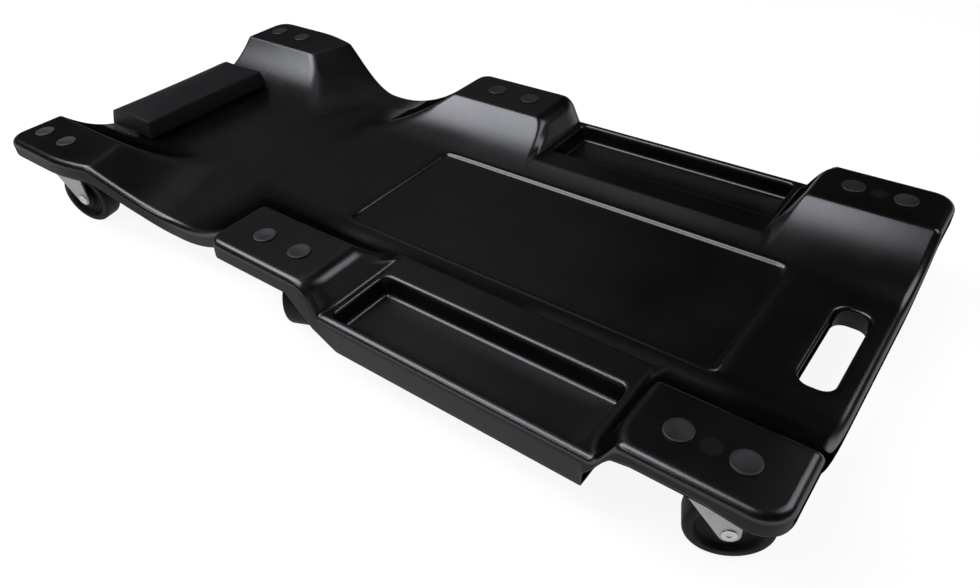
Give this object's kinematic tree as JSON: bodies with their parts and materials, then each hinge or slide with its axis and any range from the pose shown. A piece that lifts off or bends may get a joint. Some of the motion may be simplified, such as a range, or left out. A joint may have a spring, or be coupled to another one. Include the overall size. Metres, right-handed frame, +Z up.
{
  "type": "mechanic creeper",
  "caption": "Low moulded plastic creeper with a dished deck, arm cut-outs, side tool trays, a hand slot, a padded headrest and swivel casters, for lying under a vehicle.",
  "frame": {"origin": "floor level under the middle of the deck", "axes": "+X from head to feet along the length, +Y to the lying person's left, +Z up"},
  "size_m": [1.008, 0.468, 0.1163],
  "materials": {
    "deck_plastic": "black moulded plastic with a fine pebble grain",
    "pad_vinyl": "black vinyl cover, satin",
    "plywood": "bare plywood",
    "zinc_plate": "zinc plated pressed steel",
    "bright_steel": "plain bright steel",
    "wheel_rubber": "solid black wheel, matte",
    "bush_nylon": "natural nylon",
    "rivet_coat": "dark grey coated rivet"
  },
  "bodies": {
    "chassis": {"deck": "deck_plastic", "foot_left_caster_plate": "zinc_plate", "foot_left_kingpin": "bright_steel", "foot_left_rivet_a": "rivet_coat", "foot_left_rivet_b": "rivet_coat", "foot_right_caster_plate": "zinc_plate", "foot_right_kingpin": "bright_steel", "foot_right_rivet_a": "rivet_coat", "foot_right_rivet_b": "rivet_coat", "head_left_caster_plate": "zinc_plate", "head_left_kingpin": "bright_steel", "head_left_rivet_a": "rivet_coat", "head_left_rivet_b": "rivet_coat", "head_right_caster_plate": "zinc_plate", "head_right_kingpin": "bright_steel", "head_right_rivet_a": "rivet_coat", "head_right_rivet_b": "rivet_coat", "headrest_board": "plywood", "headrest_pad": "pad_vinyl", "headrest_screw_left": "bright_steel", "headrest_screw_right": "bright_steel", "mid_left_caster_plate": "zinc_plate", "mid_left_kingpin": "bright_steel", "mid_left_rivet_a": "rivet_coat", "mid_left_rivet_b": "rivet_coat", "mid_right_caster_plate": "zinc_plate", "mid_right_kingpin": "bright_steel", "mid_right_rivet_a": "rivet_coat", "mid_right_rivet_b": "rivet_coat"},
    "head_right_swivel": {"head_right_fork": "zinc_plate", "head_right_ball_ring": "bright_steel", "head_right_axle": "bright_steel"},
    "head_right_roller": {"head_right_wheel": "wheel_rubber", "head_right_wheel_bush": "bush_nylon"},
    "head_left_swivel": {"head_left_fork": "zinc_plate", "head_left_ball_ring": "bright_steel", "head_left_axle": "bright_steel"},
    "head_left_roller": {"head_left_wheel": "wheel_rubber", "head_left_wheel_bush": "bush_nylon"},
    "mid_right_swivel": {"mid_right_fork": "zinc_plate", "mid_right_ball_ring": "bright_steel", "mid_right_axle": "bright_steel"},
    "mid_right_roller": {"mid_right_wheel": "wheel_rubber", "mid_right_wheel_bush": "bush_nylon"},
    "mid_left_swivel": {"mid_left_fork": "zinc_plate", "mid_left_ball_ring": "bright_steel", "mid_left_axle": "bright_steel"},
    "mid_left_roller": {"mid_left_wheel": "wheel_rubber", "mid_left_wheel_bush": "bush_nylon"},
    "foot_right_swivel": {"foot_right_fork": "zinc_plate", "foot_right_ball_ring": "bright_steel", "foot_right_axle": "bright_steel"},
    "foot_right_roller": {"foot_right_wheel": "wheel_rubber", "foot_right_wheel_bush": "bush_nylon"},
    "foot_left_swivel": {"foot_left_fork": "zinc_plate", "foot_left_ball_ring": "bright_steel", "foot_left_axle": "bright_steel"},
    "foot_left_roller": {"foot_left_wheel": "wheel_rubber", "foot_left_wheel_bush": "bush_nylon"}
  },
  "joints": [
    {"name": "head_right_swivel_turn", "type": "hinge", "parent": "chassis", "child": "head_right_swivel", "pos_m": [-0.4445, -0.1966, 0.0841], "axis": [0, 0, 1], "continuous": true},
    {"name": "head_right_wheel_spin", "type": "hinge", "parent": "head_right_swivel", "child": "head_right_roller", "pos_m": [-0.42315, -0.19128, 0.035], "axis": [-0.2419, 0.9703, 0], "continuous": true},
    {"name": "head_left_swivel_turn", "type": "hinge", "parent": "chassis", "child": "head_left_swivel", "pos_m": [-0.4445, 0.1966, 0.0841], "axis": [0, 0, 1], "continuous": true},
    {"name": "head_left_wheel_spin", "type": "hinge", "parent": "head_left_swivel", "child": "head_left_roller", "pos_m": [-0.4241, 0.20484, 0.035], "axis": [-0.3746, 0.9272, 0], "continuous": true},
    {"name": "mid_right_swivel_turn", "type": "hinge", "parent": "chassis", "child": "mid_right_swivel", "pos_m": [-0.0165, -0.1966, 0.0841], "axis": [0, 0, 1], "continuous": true},
    {"name": "mid_right_wheel_spin", "type": "hinge", "parent": "mid_right_swivel", "child": "mid_right_roller", "pos_m": [-0.02474, -0.1762, 0.035], "axis": [-0.9272, -0.3746, 0], "continuous": true},
    {"name": "mid_left_swivel_turn", "type": "hinge", "parent": "chassis", "child": "mid_left_swivel", "pos_m": [-0.0165, 0.1966, 0.0841], "axis": [0, 0, 1], "continuous": true},
    {"name": "mid_left_wheel_spin", "type": "hinge", "parent": "mid_left_swivel", "child": "mid_left_roller", "pos_m": [0.00502, 0.20117, 0.035], "axis": [-0.2079, 0.9781, 0], "continuous": true},
    {"name": "foot_right_swivel_turn", "type": "hinge", "parent": "chassis", "child": "foot_right_swivel", "pos_m": [0.436, -0.1966, 0.0841], "axis": [0, 0, 1], "continuous": true},
    {"name": "foot_right_wheel_spin", "type": "hinge", "parent": "foot_right_swivel", "child": "foot_right_roller", "pos_m": [0.45577, -0.18696, 0.035], "axis": [-0.4384, 0.8988, 0], "continuous": true},
    {"name": "foot_left_swivel_turn", "type": "hinge", "parent": "chassis", "child": "foot_left_swivel", "pos_m": [0.436, 0.1966, 0.0841], "axis": [0, 0, 1], "continuous": true},
    {"name": "foot_left_wheel_spin", "type": "hinge", "parent": "foot_left_swivel", "child": "foot_left_roller", "pos_m": [0.45667, 0.20412, 0.035], "axis": [-0.342, 0.9397, 0], "continuous": true}
  ]
}
